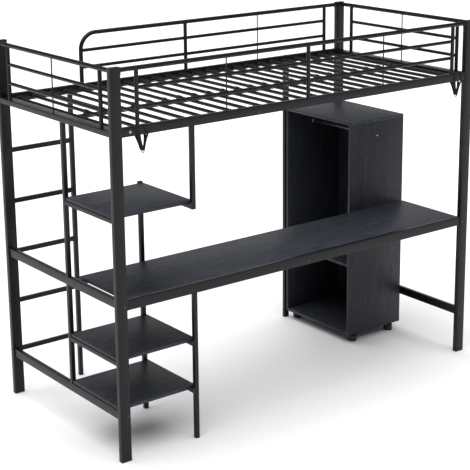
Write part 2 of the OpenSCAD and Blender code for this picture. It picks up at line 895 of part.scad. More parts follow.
module strap_rings() {
  y = [rail_y + (rail_t - ring_t) / 2, rail_y + (rail_t + ring_t) / 2];
  color(zinc) placed() for (x = strap_xs) difference() {
    rod_y(x, y, eyelet_z, eyelet_bore + 2 * ring_wall);
    rod_y(x, [y[0] - over, y[1] + over], eyelet_z, eyelet_bore);
  }
}

// Fasteners
module frame_bolts() {
  color(zinc) placed() at_corners() bolt_y(bolt_in, 0, bottom_mid, bolt_reach);
}

module desk_screws() {
  color(zinc) placed() {
    at_corners() bolt_y(bolt_in, 0, desk_bolt_z, bolt_reach);
    bolt_y(bed_l / 2, beam_y[0], desk_bolt_z, rail_t + plate_t + 4);
  }
}

module rail_bolts() {
  color(zinc) placed() {
    at_corners() bolt_y(post_x + spigot_bolt, rail_y, rail_mid, rail_t - bar_wall - 1);
    for (x = bearer_xs) {
      bolt_y(x, rail_y, slat_z, rail_t + plate_t + 4);
      mirrored_y() bolt_y(x, rail_y, slat_z, rail_t + plate_t + 4);
    }
  }
}

// Bolts down through the side rails into the posts that hang from them
module post_bolts() {
  color(zinc) placed() {
    post_bolt(tower_x - thin_post / 2);
    mirrored_y() for (x = back_bolt_xs) post_bolt(x);
  }
}

module post_bolt(x) {
  rod_z(x, guard_in, [rail_top, rail_top + head_h], head_d);
  rod_z(x, guard_in, [rail_bottom - plate_t - 4, rail_top + over / 2], bolt_d);
}

module rung_bolts() {
  color(zinc) placed() for (z = rung_zs) {
    bolt_x(0, rung_y, z, post_x + plate_t + 4);
    translate([ladder_x + thin_post, rung_y, z]) mirror([1, 0, 0])
      bolt_x(0, 0, 0, thin_post + plate_t + 4);
  }
}

left_upper_frame();
right_upper_frame();
front_left_leg();
back_left_leg();
front_right_leg();
back_right_leg();
post_sleeves();
post_top_caps();
post_foot_caps();
thin_post_foot_caps();
front_side_rail();
back_side_rail();
cross_bearers();
slats();
slat_end_cups();
centre_bar();
centre_clips();
front_guard();
back_guard();
ladder_upright();
rung(0);  // rung_1
rung(1);  // rung_2
rung(2);  // rung_3
rung(3);  // rung_4
rung(4);  // rung_5
back_middle_post();
left_bottom_crossbar();
right_bottom_crossbar();
left_desk_crossbar();
right_desk_crossbar();
left_middle_post_lower();
left_middle_post_upper();
tower_back_post();
tower_front_post();
tower_hanging_post();
shelf_bearers();
desk_front_beam();
desk_back_beam();
desk_braces();
desk_top();
upper_shelf();
middle_shelf();
bottom_shelf();
wardrobe_near_panel();
wardrobe_far_panel();
wardrobe_top();
wardrobe_bottom();
wardrobe_back();
wardrobe_shelf();
clothes_rail();
clothes_rail_cups();
wardrobe_feet();
anchor_strap_left();
anchor_strap_right();
strap_rings();
frame_bolts();
rail_bolts();
rung_bolts();
desk_screws();
post_bolts();
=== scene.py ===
import math

import bmesh
import bpy
from bpy.props import FloatProperty, FloatVectorProperty, IntProperty, PointerProperty
from mathutils import Euler, Matrix, Vector


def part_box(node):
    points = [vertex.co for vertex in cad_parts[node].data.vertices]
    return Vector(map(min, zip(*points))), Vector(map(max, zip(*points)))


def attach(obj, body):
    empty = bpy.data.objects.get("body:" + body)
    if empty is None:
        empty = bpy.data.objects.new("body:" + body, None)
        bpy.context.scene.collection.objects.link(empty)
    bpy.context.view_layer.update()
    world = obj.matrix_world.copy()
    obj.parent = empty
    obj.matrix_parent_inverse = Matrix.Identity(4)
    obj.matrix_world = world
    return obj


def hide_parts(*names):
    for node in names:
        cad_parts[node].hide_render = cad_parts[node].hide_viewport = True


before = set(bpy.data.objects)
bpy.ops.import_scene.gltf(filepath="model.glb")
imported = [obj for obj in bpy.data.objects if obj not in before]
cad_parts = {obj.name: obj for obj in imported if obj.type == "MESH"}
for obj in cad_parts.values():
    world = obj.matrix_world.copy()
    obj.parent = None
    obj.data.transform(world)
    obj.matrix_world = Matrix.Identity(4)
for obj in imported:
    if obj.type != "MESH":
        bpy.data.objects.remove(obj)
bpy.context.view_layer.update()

bl_info = {
    "name": "Loft Bed with Desk",
    "version": (1, 0, 0),
    "blender": (4, 5, 0),
    "location": "View3D > Sidebar > Loft Bed",
    "description": "Builds a tubular steel loft bed with its desk, shelves and wardrobe",
    "category": "Object",
}

FLOOR_LO, FLOOR_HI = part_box("post_foot_caps")     # the posts' outer faces
X, Y, Z = 0, 1, 2


def linear(hex_colour):
    """The linear colour of an sRGB hex value, such as "2b2b2e"."""
    parts = [int(hex_colour[i:i + 2], 16) / 255 for i in (0, 2, 4)]
    return [c / 12.92 if c <= 0.04045 else ((c + 0.055) / 1.055) ** 2.4 for c in parts]


# ---------------------------------------------------------------- sizes and colours

def length(label, about, default):
    return FloatProperty(name=label, description=about, default=default, unit="LENGTH")


def colour(label, about, hex_colour):
    return FloatVectorProperty(name=label, description=about, subtype="COLOR",
                               default=linear(hex_colour))


class LoftBedSizes(bpy.types.PropertyGroup):
    top_tube: length("Top tube", "Diameter of the guards' top tubes", 0.020)
    mid_tube: length("Middle tube", "Diameter of the guards' lower tubes", 0.016)
    upright_tube: length("Upright", "Diameter of the guards' uprights", 0.018)
    rod: length("Rod", "Diameter of the guards' thin rods", 0.006)
    side_gap: length("Side guard gap", "Distance between side tubes", 0.080)
    end_gap: length("End guard gap", "Distance between end tubes", 0.086)
    side_in: length("Side upright inset", "Outer face to side upright", 0.132)
    end_in: length("End upright inset", "Outer face to end upright", 0.097)
    bend: length("Bend radius", "Bend at the ladder's end of the guard", 0.080)
    corner: length("Tube corner", "Corner radius of the square tubes", 0.0022)
    board_edge: length("Board edge", "Rounding of a board's edges", 0.0009)
    slats: IntProperty(name="Slats", description="Number of slats with the two bearers",
                       default=24, min=8)
    slat_tube: length("Slat", "Diameter of a slat", 0.016)


class LoftBedColours(bpy.types.PropertyGroup):
    steel: colour("Steel", "Powder-coated steel", "101013")
    board: colour("Board", "Melamine board", "1e1f23")
    board_grain: colour("Grain", "The board's raised grain", "393d49")
    plastic: colour("Plastic", "Moulded plastic", "161617")
    webbing: colour("Webbing", "Nylon webbing", "0e0e10")
    floor: colour("Floor", "Studio floor", "f7f7f7")


def sizes():
    return bpy.context.scene.loft_bed_sizes


def colours():
    return bpy.context.scene.loft_bed_colours


# ---------------------------------------------------------------- materials

def add_node(tree, kind, wires=None, values=None, **settings):
    """Adds a node with its settings, its socket values and the outputs wired into it."""
    new = tree.nodes.new(kind)
    for name, value in settings.items():
        setattr(new, name, value)
    for key, value in (values or {}).items():
        new.inputs[key].default_value = value
    for key, source in (wires or {}).items():
        tree.links.new(source, new.inputs[key])
    return new


def new_material(name, values):
    """A material with a Principled shader whose constant sockets hold values."""
    material = bpy.data.materials.new(name)
    material.use_nodes = True
    tree = material.node_tree
    tree.nodes.clear()
    shader = add_node(tree, "ShaderNodeBsdfPrincipled", values=values)
    add_node(tree, "ShaderNodeOutputMaterial", {"Surface": shader.outputs["BSDF"]})
    return material, tree, shader


def place(tree, stretch=(1, 1, 1)):
    """Object coordinates, divided by a size in metres along each axis."""
    coords = add_node(tree, "ShaderNodeTexCoord")
    scale = [1 / s for s in stretch]
    return add_node(tree, "ShaderNodeMapping", {"Vector": coords.outputs["Object"]},
                    {"Scale": scale}).outputs["Vector"]


def tint(tree, shader, factor, low, high, positions=(0, 1)):
    """Blends a shader's colour from low to high as the factor passes two positions."""
    ramp = add_node(tree, "ShaderNodeValToRGB", {"Fac": factor})
    for i, shade in enumerate((low, high)):
        ramp.color_ramp.elements[i].color = (*shade, 1)
        ramp.color_ramp.elements[i].position = positions[i]
    tree.links.new(ramp.outputs["Color"], shader.inputs["Base Color"])


def roughen(tree, shader, factor, low, high):
    """Maps a noise of about 0.3 to 0.7 to a roughness of low to high."""
    mapped = add_node(tree, "ShaderNodeMapRange", {"Value": factor},
                      {"From Min": 0.3, "From Max": 0.7, "To Min": low, "To Max": high})
    tree.links.new(mapped.outputs["Result"], shader.inputs["Roughness"])


def shaded(base, factor):
    return [c * factor for c in base]


def noise(tree, vector, detail=2.0, roughness=0.5, distortion=0.0):
    return add_node(tree, "ShaderNodeTexNoise", {"Vector": vector},
                    {"Scale": 1.0, "Detail": detail, "Roughness": roughness,
                     "Distortion": distortion}).outputs["Fac"]


def bump(tree, shader, height, strength, distance, under=None):
    wires = {"Height": height}
    if under:
        wires["Normal"] = under
    made = add_node(tree, "ShaderNodeBump", wires, {"Strength": strength, "Distance": distance})
    tree.links.new(made.outputs["Normal"], shader.inputs["Normal"])
    return made.outputs["Normal"]


def dielectric(specular, ior):
    return {"Specular IOR Level": specular, "IOR": ior, "Metallic": 0.0}


def coated(name, values, cell, detail, low, high, rough, relief=None):
    """A finish whose colour and roughness follow a noise with cells of that size in metres;
    relief is (cell, detail, strength, depth) of a second noise that bumps it."""
    material, tree, shader = new_material(name, values)
    tone = noise(tree, place(tree, cell), detail)
    tint(tree, shader, tone, low, high)
    roughen(tree, shader, tone, *rough)
    if relief:
        relief_cell, relief_detail, strength, depth = relief
        bump(tree, shader, noise(tree, place(tree, relief_cell), relief_detail), strength, depth)
    return material


def powder_coat():
    """Polyester powder coat, sprayed and baked: a satin black with a fine orange peel."""
    base = list(colours().steel)
    # a real peel's cells are about 1 mm across; drawn at 2.5 mm so that they show
    return coated("Powder-coated steel", dielectric(0.25, 1.5), [0.060] * 3, 3,
                  base, shaded(base, 1.25), (0.26, 0.36), ([0.0025] * 3, 1, 0.10, 0.0004))


def melamine(name, grain_axis, relief=1.0):
    """Melamine paper pressed on particle board with an oak grain plate: raised grain, lighter
    and slightly glossier than the ground between."""
    base = list(colours().board)
    raised = [b + (g - b) * relief for b, g in zip(base, colours().board_grain)]
    material, tree, shader = new_material(name, dielectric(0.3, 1.5))
    # cathedral figure about 160 mm long and 22 mm wide, grain strokes 34 mm by 2.4 mm
    figure_size = [0.022] * 3
    figure_size[grain_axis] = 0.160
    stroke_size = [0.0024] * 3
    stroke_size[grain_axis] = 0.034
    figure = noise(tree, place(tree, figure_size), 4, 0.6, 0.8)
    strokes = noise(tree, place(tree, stroke_size), 3, 0.65)
    mixed = add_node(tree, "ShaderNodeMath", {0: figure, 1: strokes}, operation="MULTIPLY")
    tint(tree, shader, mixed.outputs["Value"], base, raised, (0.16, 0.42))
    roughen(tree, shader, strokes, 0.56, 0.40)
    first = bump(tree, shader, strokes, 0.5 * relief, 0.0005)
    bump(tree, shader, figure, 0.15, 0.0008, first)
    return material


def edge_band():
    """ABS edging, extruded and ironed on: plain black, with an even satin face."""
    base = list(colours().board)
    return coated("ABS edge band", dielectric(0.3, 1.53), [0.09] * 3, 2,
                  base, shaded(base, 1.5), (0.46, 0.56))


def moulded_plastic():
    """Polypropylene from a spark-eroded mould: matt black with a fine even grain."""
    base = list(colours().plastic)
    return coated("Moulded polypropylene", dielectric(0.45, 1.49), [0.03] * 3, 2,
                  base, shaded(base, 1.35), (0.46, 0.56), ([0.0012] * 3, 2, 0.25, 0.0002))


def nylon_webbing():
    """Nylon webbing, plain woven: ribs across the band every 1.6 mm and a soft sheen."""
    base = list(colours().webbing)
    rib, thread = 0.0016, 0.0010
    material, tree, shader = new_material(
        "Nylon webbing", {"Specular IOR Level": 0.2, "Roughness": 0.75, "Sheen Weight": 0.08,
                          "Sheen Roughness": 0.5})
    uv = add_node(tree, "ShaderNodeUVMap", uv_map="weave").outputs["UV"]
    ribs = add_node(tree, "ShaderNodeTexWave", {"Vector": uv},
                    {"Scale": 1 / rib / math.pi, "Distortion": 0.6, "Detail": 1.0},
                    bands_direction="X")
    threads = add_node(tree, "ShaderNodeTexWave", {"Vector": uv},
                       {"Scale": 1 / thread / math.pi, "Distortion": 0.4}, bands_direction="Y")
    weave = add_node(tree, "ShaderNodeMath",
                     {0: ribs.outputs["Fac"], 1: threads.outputs["Fac"]},
                     operation="MULTIPLY").outputs["Value"]
    tint(tree, shader, weave, base, shaded(base, 2.6))
    bump(tree, shader, weave, 0.6, 0.0004)
    return material


def black_zinc():
    """Zinc plate with a black chromate: dark metal with a faint grey bloom."""
    return coated("Black zinc plate", {"Metallic": 1.0}, [0.004] * 3, 3,
                  linear("38383b"), linear("5c5c60"), (0.28, 0.42))


def bright_zinc():
    """Clear-passivated zinc plate: a pale grey metal, barrel plated, with a fine bloom."""
    return coated("Bright zinc plate", {"Metallic": 1.0}, (0.003, 0.003, 0.0006), 3,
                  linear("8f9194"), linear("c4c6c9"), (0.22, 0.36))


def black_rail():
    """Black-coated steel tube for hangers: smooth, semi-gloss, with worn drag lines."""
    return coated("Black hanging rail", dielectric(0.5, 1.5), (0.006, 0.0015, 0.006), 2,
                  linear("222225"), linear("37373b"), (0.22, 0.34))


def studio_floor():
    """Matt white paper sweep."""
    material, tree, shader = new_material("White paper sweep",
                                          {"Specular IOR Level": 0.0, "Roughness": 0.9})
    base = list(colours().floor)
    pulp = noise(tree, place(tree, [0.5] * 3), 2)
    tint(tree, shader, pulp, base, [min(1, c * 1.01) for c in base])
    return material


MAKERS = {
    "steel": powder_coat,
    "board_x": lambda: melamine("Melamine, grain along X", X),
    "board_y": lambda: melamine("Melamine, grain along Y", Y),
    "board_z": lambda: melamine("Melamine, grain along Z", Z, 0.55),
    "edge": edge_band,
    "plastic": moulded_plastic,
    "webbing": nylon_webbing,
    "bolt": black_zinc,
    # bright zinc is also put on the left pair of rail bolts as a painted highlight
    "zinc": bright_zinc,
    "hanger": black_rail,
    "floor": studio_floor,
}
made = {}    # the finishes made so far


def finish_of(key):
    """The material of that name, made once."""
    if key not in made:
        made[key] = MAKERS[key]()
    return made[key]


# ---------------------------------------------------------------- mesh helpers

def add_bar(bm, lo, hi, axis, radius=None, steps=3):
    """A closed bar along an axis, with its long edges rounded."""
    u, v = (axis + 1) % 3, (axis + 2) % 3
    r = sizes().corner if radius is None else radius
    outline = []
    for corner_u, corner_v, start in ((hi[u] - r, hi[v] - r, 0), (lo[u] + r, hi[v] - r, 90),
                                      (lo[u] + r, lo[v] + r, 180), (hi[u] - r, lo[v] + r, 270)):
        for i in range(steps + 1):
            angle = math.radians(start + 90 * i / steps)
            outline.append((corner_u + r * math.cos(angle), corner_v + r * math.sin(angle)))
    rings = []
    for end in (lo[axis], hi[axis]):
        ring = []
        for pu, pv in outline:
            point = [0, 0, 0]
            point[axis], point[u], point[v] = end, pu, pv
            ring.append(bm.verts.new(point))
        rings.append(ring)
    count = len(outline)
    for i in range(count):
        j = (i + 1) % count
        bm.faces.new((rings[0][i], rings[0][j], rings[1][j], rings[1][i]))
    bm.faces.new(rings[0][::-1])
    bm.faces.new(rings[1])


def add_block(bm, lo, hi, edge, steps=2):
    """A closed block with all its edges rounded."""
    made_cube = bmesh.ops.create_cube(bm, size=1)["verts"]
    for vert in made_cube:
        vert.co = [lo[i] if vert.co[i] < 0 else hi[i] for i in range(3)]
    edges = {e for vert in made_cube for e in vert.link_edges}
    bmesh.ops.bevel(bm, geom=list(edges), offset=edge, segments=steps, affect="EDGES",
                    profile=0.5)


def add_lathe(bm, profile, sides, centre=(0, 0, 0), axis=Z, shape=None):
    """Turns a closed profile of (radius, height) round an axis. A radius of 0 is a pole;
    shape(ring, angle) may change a radius."""
    u, v = (axis + 1) % 3, (axis + 2) % 3
    rings = []
    for number, (radius, height) in enumerate(profile):
        ring = []
        for i in range(1 if radius == 0 else sides):
            angle = 2 * math.pi * i / sides
            r = shape(number, angle) if shape and radius else radius
            point = list(centre)
            point[axis] += height
            point[u] += r * math.cos(angle)
            point[v] += r * math.sin(angle)
            ring.append(bm.verts.new(point))
        rings.append(ring)
    closed = profile[0][0] > 0 and profile[-1][0] > 0
    pairs = list(zip(rings, rings[1:])) + ([(rings[-1], rings[0])] if closed else [])
    for low, high in pairs:
        for i in range(sides):
            j = (i + 1) % sides
            corners = [low[i % len(low)], low[j % len(low)], high[j % len(high)],
                       high[i % len(high)]]
            bm.faces.new(list(dict.fromkeys(corners)))


def to_mesh(bm, name, angle=40):
    """A mesh from bm, smooth but for edges sharper than angle degrees."""
    mesh = bpy.data.meshes.new(name)
    bm.normal_update()
    bm.to_mesh(mesh)
    bm.free()
    smooth(mesh, angle)
    return mesh


def smooth(mesh, angle=40):
    mesh.shade_smooth()
    mesh.set_sharp_from_angle(angle=math.radians(angle))


def add_piece(name, mesh, finishes, slot, *replaced):
    """Puts a finished mesh in the scene as a piece of the bed."""
    piece = bpy.data.objects.new(name, mesh)
    bpy.context.scene.collection.objects.link(piece)
    mesh.materials.clear()
    for key in finishes:
        mesh.materials.append(finish_of(key))
    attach(piece, "root")
    if replaced:
        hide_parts(*replaced)
    return piece


def drawn_piece(name, bm, finish, slot, node):
    """A piece of one finish from what was drawn in bm."""
    add_piece(name, to_mesh(bm, name), [finish], slot, node)


def bar_piece(name, bars, node, radius=None):
    """A steel piece from a list of (low corner, high corner, axis) bars."""
    bm = bmesh.new()
    for lo, hi, axis in bars:
        add_bar(bm, lo, hi, axis, radius)
    drawn_piece(name, bm, "steel", "frame_steel", node)


def box_bars(axis, *nodes, radius=None):
    """Each of these nodes as one straight bar that fills its box."""
    for node in nodes:
        bar_piece(node + "_tube", [(*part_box(node), axis)], node, radius)


# ---------------------------------------------------------------- geometry nodes

def new_tree(name, inputs):
    """An empty geometry node tree with these named inputs besides its geometry."""
    tree = bpy.data.node_groups.new(name, "GeometryNodeTree")
    tree.interface.new_socket("Geometry", in_out="INPUT", socket_type="NodeSocketGeometry")
    for label, kind in inputs:
        tree.interface.new_socket(label, in_out="INPUT", socket_type=kind)
    tree.interface.new_socket("Geometry", in_out="OUTPUT", socket_type="NodeSocketGeometry")
    return tree, add_node(tree, "NodeGroupInput").outputs


def close_tree(tree, given, geometry):
    """Ends a tree in Realize Instances and Set Material."""
    real = add_node(tree, "GeometryNodeRealizeInstances", {"Geometry": geometry})
    painted = add_node(tree, "GeometryNodeSetMaterial",
                       {"Geometry": real.outputs["Geometry"], "Material": given["Finish"]})
    add_node(tree, "NodeGroupOutput", {"Geometry": painted.outputs["Geometry"]})
    return tree


def tube_tree():
    """Sweeps round tubes along polylines; each point's tube_radius is the tube's radius."""
    tree, given = new_tree("Round tubes", [("Bend radius", "NodeSocketFloat"),
                                           ("Sides", "NodeSocketInt"),
                                           ("Finish", "NodeSocketMaterial")])
    path = add_node(tree, "GeometryNodeMeshToCurve", {"Mesh": given["Geometry"]})
    bent = add_node(tree, "GeometryNodeFilletCurve",
                    {"Curve": path.outputs["Curve"], "Radius": given["Bend radius"]},
                    {"Count": 14}, mode="POLY")
    radius = add_node(tree, "GeometryNodeInputNamedAttribute", values={"Name": "tube_radius"},
                      data_type="FLOAT")
    profile = add_node(tree, "GeometryNodeCurvePrimitiveCircle", {"Resolution": given["Sides"]},
                       {"Radius": 1.0})
    swept = add_node(tree, "GeometryNodeCurveToMesh",
                     {"Curve": bent.outputs["Curve"], "Profile Curve": profile.outputs["Curve"],
                      "Scale": radius.outputs["Attribute"]}, {"Fill Caps": True})
    return close_tree(tree, given, swept.outputs["Mesh"])


def set_tree():
    """Sets a copy of an item on every point, with its Z along the point's facing."""
    tree, given = new_tree("Items on points", [("Item", "NodeSocketObject"),
                                               ("Finish", "NodeSocketMaterial")])
    item = add_node(tree, "GeometryNodeObjectInfo", {"Object": given["Item"]},
                    {"As Instance": True})
    facing = add_node(tree, "GeometryNodeInputNamedAttribute", values={"Name": "facing"},
                      data_type="FLOAT_VECTOR")
    turned = add_node(tree, "FunctionNodeAlignRotationToVector",
                      {"Vector": facing.outputs["Attribute"]}, axis="Z")
    copies = add_node(tree, "GeometryNodeInstanceOnPoints",
                      {"Points": given["Geometry"], "Instance": item.outputs["Geometry"],
                       "Rotation": turned.outputs["Rotation"]})
    return close_tree(tree, given, copies.outputs["Instances"])


def run_tree(name, mesh, tree, inputs, angle=40):
    """Runs a tree on a mesh and returns the plain mesh that it makes."""
    host = bpy.data.objects.new(name + "_host", mesh)
    bpy.context.scene.collection.objects.link(host)
    modifier = host.modifiers.new("Build", "NODES")
    modifier.node_group = tree
    for socket in tree.interface.items_tree:
        if socket.in_out == "INPUT" and socket.name in inputs:
            modifier[socket.identifier] = inputs[socket.name]
    graph = bpy.context.evaluated_depsgraph_get()
    result = bpy.data.meshes.new_from_object(host.evaluated_get(graph))
    host.modifiers.clear()
    bpy.data.objects.remove(host)
    result.name = name
    for attribute in ("facing", "tube_radius"):
        if attribute in result.attributes:
            result.attributes.remove(result.attributes[attribute])
    smooth(result, angle)
    return result


def tubes_mesh(name, paths, bend=0.0, sides=20):
    """Round tubes from a list of (diameter, points)."""
    points, edges, radii = [], [], []
    for diameter, path in paths:
        first = len(points)
        points += [tuple(p) for p in path]
        radii += [diameter / 2] * len(path)
        edges += [(i, i + 1) for i in range(first, len(points) - 1)]
    mesh = bpy.data.meshes.new(name)
    mesh.from_pydata(points, edges, [])
    mesh.attributes.new("tube_radius", "FLOAT", "POINT").data.foreach_set("value", radii)
    return run_tree(name, mesh, tube_tree(),
                    {"Bend radius": bend, "Sides": sides, "Finish": finish_of("steel")})


def items_mesh(name, item, places, finish, angle=40):
    """Copies of the mesh item at a list of (point, facing)."""
    mesh = bpy.data.meshes.new(name)
    mesh.from_pydata([tuple(p) for p, _ in places], [], [])
    facing = [c for _, direction in places for c in direction]
    mesh.attributes.new("facing", "FLOAT_VECTOR", "POINT").data.foreach_set("vector", facing)
    source = bpy.data.objects.new(name + "_item", item)
    bpy.context.scene.collection.objects.link(source)
    result = run_tree(name, mesh, set_tree(), {"Item": source, "Finish": finish_of(finish)},
                      angle)
    bpy.data.objects.remove(source)
    return result


def items_piece(name, item, places, finish, slot, *replaced, angle=40):
    """A piece made of copies of the mesh item."""
    add_piece(name, items_mesh(name, item, places, finish, angle), [finish], slot, *replaced)


def joined_piece(node, meshes):
    """A steel piece from several meshes."""
    bm = bmesh.new()
    for mesh in meshes:
        bm.from_mesh(mesh)
    drawn_piece(node + "_steel", bm, "steel", "frame_steel", node)


def item_mesh(name, build):
    """The mesh that build(bm) draws at the origin."""
    bm = bmesh.new()
    build(bm)
    return to_mesh(bm, name)


def weld_bead(radius):
    """A fillet weld round a tube's foot."""
    fat = 0.0014
    steps = 6
    ring = [(radius + fat * math.cos(a), fat * math.sin(a))
            for a in (2 * math.pi * i / steps for i in range(steps))]
    return item_mesh("bead", lambda bm: add_lathe(bm, ring, 20))


# ---------------------------------------------------------------- steel frame

POST = (0.050, 0.025)
RAIL_LO, RAIL_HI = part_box("front_side_rail")
UPPER_LO, UPPER_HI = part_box("left_upper_frame")
LEFT, RIGHT = FLOOR_LO.x, FLOOR_HI.x
FRONT, BACK = FLOOR_LO.y, FLOOR_HI.y
GUARD_IN = POST[1] / 2
END_RAIL_TOP = RAIL_HI.z - 0.010
END_RAIL_T = 0.025
PLATE_T = 0.003
WELD_IN = 0.001     # how far a welded tube runs into its neighbour
HAIR = 0.0005       # what a guard keeps under the posts' tops, and sinks into the side rail


def flip_x(value, side):
    """The same place at the other end of the bed when side is -1."""
    return value if side > 0 else -value


def span(a, b):
    return (a, b) if a < b else (b, a)


def middle_z(node):
    lo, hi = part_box(node)
    return (lo.z + hi.z) / 2


def end_frame(side):
    """One welded upper end frame; side is 1 for the left end and -1 for the right."""
    s = sizes()
    name = "left_upper_frame" if side > 0 else "right_upper_frame"
    x0, x1 = span(flip_x(LEFT, side), flip_x(LEFT + POST[0], side))
    bm = bmesh.new()
    for y in (FRONT, BACK - POST[1]):
        add_bar(bm, (x0, y, UPPER_LO.z), (x1, y + POST[1], UPPER_HI.z), Z)
    inner = (FRONT + POST[1] - WELD_IN, BACK - POST[1] + WELD_IN)
    add_bar(bm, (x0, inner[0], END_RAIL_TOP - END_RAIL_T), (x1, inner[1], END_RAIL_TOP), Y)
    x = flip_x(LEFT + GUARD_IN, side)
    top_z = UPPER_HI.z - s.top_tube / 2 - HAIR
    foot = END_RAIL_TOP - WELD_IN
    uprights = (FRONT + s.end_in, BACK - s.end_in)
    paths = [(s.top_tube, [(x, inner[0], top_z), (x, inner[1], top_z)])]
    for i in (1, 2):
        z = top_z - i * s.end_gap
        paths.append((s.mid_tube, [(x, uprights[0], z), (x, uprights[1], z)]))
    for y in uprights:
        paths.append((s.upright_tube, [(x, y, foot), (x, y, top_z)]))
    paths.append((s.rod, [(x, 0, foot), (x, 0, top_z)]))
    beads = [((x, y, END_RAIL_TOP), (0, 0, 1)) for y in uprights]
    ends = [((x, y, top_z), (0, 1, 0)) for y in (FRONT + POST[1], BACK - POST[1])]
    joined_piece(name, [to_mesh(bm, "posts"), tubes_mesh("guard", paths),
                        items_mesh("foot_beads", weld_bead(s.upright_tube / 2), beads, "steel"),
                        items_mesh("end_beads", weld_bead(s.top_tube / 2), ends, "steel")])


class LOFTBED_OT_end_frames(bpy.types.Operator):
    """Build the two welded upper end frames"""
    bl_idname = "loftbed.end_frames"
    bl_label = "End frames"

    def execute(self, context):
        end_frame(1)
        end_frame(-1)
        return {"FINISHED"}


class LOFTBED_OT_legs(bpy.types.Operator):
    """Build the four legs and the sleeves inside them"""
    bl_idname = "loftbed.legs"
    bl_label = "Legs"
    joint = 0.0006      # the hairline joint between a leg and the post above it
    def execute(self, context):
        for name in ("front_left_leg", "back_left_leg", "front_right_leg", "back_right_leg"):
            lo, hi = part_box(name)
            bar_piece(name + "_tube", [(lo, (hi.x, hi.y, hi.z - self.joint), Z)], name)
        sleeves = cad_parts["post_sleeves"]
        sleeves.data.materials.clear()
        sleeves.data.materials.append(finish_of("steel"))
        return {"FINISHED"}


class LOFTBED_OT_side_rails(bpy.types.Operator):
    """Build the two side rails"""
    bl_idname = "loftbed.side_rails"
    bl_label = "Side rails"

    def execute(self, context):
        box_bars(X, "front_side_rail", "back_side_rail")
        return {"FINISHED"}


def side_guard(name, y, xs, rods, start):
    """A side guard between posts; start is None, or where its top tube bends down."""
    s = sizes()
    top_z = UPPER_HI.z - s.top_tube / 2 - HAIR
    foot = RAIL_HI.z - HAIR
    left, right = LEFT + POST[0], RIGHT - POST[0]
    if start is None:
        top = [(left, y, top_z), (right, y, top_z)]
        plates = (left, right - PLATE_T)
        first = xs[0]
        feet = xs
    else:
        top = [(start, y, foot), (start, y, top_z), (right, y, top_z)]
        plates = (right - PLATE_T,)
        first = start
        feet = xs + [start]
    plain = [(s.upright_tube, [(x, y, foot), (x, y, top_z)]) for x in xs]
    plain += [(s.rod, [(x, y, foot), (x, y, top_z)]) for x in rods]
    for i in (1, 2):
        z = top_z - i * s.side_gap
        plain.append((s.mid_tube, [(first, y, z), (xs[-1], y, z)]))
    beads = [((x, y, foot), (0, 0, 1)) for x in feet]
    bm = bmesh.new()
    for x in plates:
        add_block(bm, (x, y - s.top_tube / 2, top_z - s.top_tube),
                  (x + PLATE_T, y + s.top_tube / 2, top_z + s.top_tube / 2), 0.0006)
    joined_piece(name, [tubes_mesh("top", [(s.top_tube, top)], s.bend),
                        tubes_mesh("tubes", plain),
                        items_mesh("beads", weld_bead(s.upright_tube / 2), beads, "steel"),
                        to_mesh(bm, "plates")])


class LOFTBED_OT_guards(bpy.types.Operator):
    """Build the front guard and the back guard with its bend at the ladder"""
    bl_idname = "loftbed.guards"
    bl_label = "Side guards"

    def execute(self, context):
        s = sizes()
        near, far = LEFT + s.side_in, RIGHT - s.side_in
        side_guard("front_guard", FRONT + GUARD_IN, [near, 0, far], [near / 2, far / 2], None)
        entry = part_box("back_guard")[0].x + s.top_tube / 2
        side_guard("back_guard", BACK - GUARD_IN, [0, far], [far / 2], entry)
        return {"FINISHED"}


# ---------------------------------------------------------------- slats

def slat_places():
    """The slats' middles along X, and which two of them are the bolted bearers."""
    s = sizes()
    lo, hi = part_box("slats")
    first = lo.x + s.slat_tube / 2
    step = (hi.x - s.slat_tube / 2 - first) / (s.slats - 1)
    xs = [first + i * step for i in range(s.slats)]
    bearers = {round(s.slats / 3), round(s.slats * 2 / 3) - 1}
    return xs, bearers


def slat_item(length):
    """A round tube along Z with its ends rounded over."""
    r = sizes().slat_tube / 2
    edge = 0.0006
    profile = [(0, -length / 2), (r - edge, -length / 2), (r, -length / 2 + edge),
               (r, length / 2 - edge), (r - edge, length / 2), (0, length / 2)]
    return item_mesh("slat", lambda bm: add_lathe(bm, profile, 20))


def cup_item():
    """The plastic cup on a slat's end, with a flange on the rail; Z points to the slat."""
    r = sizes().slat_tube / 2
    profile = [(0, 0), (r + 0.0035, 0), (r + 0.0035, 0.002), (r + 0.002, 0.003),
               (r + 0.0017, 0.0115), (r + 0.0012, 0.012), (r, 0.012), (0, 0.012)]
    return item_mesh("cup", lambda bm: add_lathe(bm, profile, 20))


def clip_item():
    """The saddle that holds a slat on the centre bar, from an arch drawn in XZ."""
    r = sizes().slat_tube / 2 + 0.0025
    wall = 0.0025
    lo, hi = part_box("centre_bar")
    half_y = (hi.y - lo.y) / 2 + wall
    drop = r + (hi.z - lo.z) * 0.6
    arch = [(r * math.cos(a), r * math.sin(a)) for a in (math.pi * i / 12 for i in range(13))]
    outline = [(r, -drop)] + arch + [(-r, -drop)]

    def build(bm):
        ends = [[bm.verts.new((x, y, z)) for x, z in outline] for y in (-half_y, half_y)]
        count = len(outline)
        for i in range(count):
            j = (i + 1) % count
            bm.faces.new((ends[0][i], ends[1][i], ends[1][j], ends[0][j]))
        bm.faces.new(ends[0])
        bm.faces.new(ends[1][::-1])
        bmesh.ops.recalc_face_normals(bm, faces=bm.faces)
        bmesh.ops.bevel(bm, geom=[e for e in bm.edges if e.calc_face_angle(0) > 1.0],
                        offset=0.0008, segments=2, affect="EDGES")
    return item_mesh("clip", build)


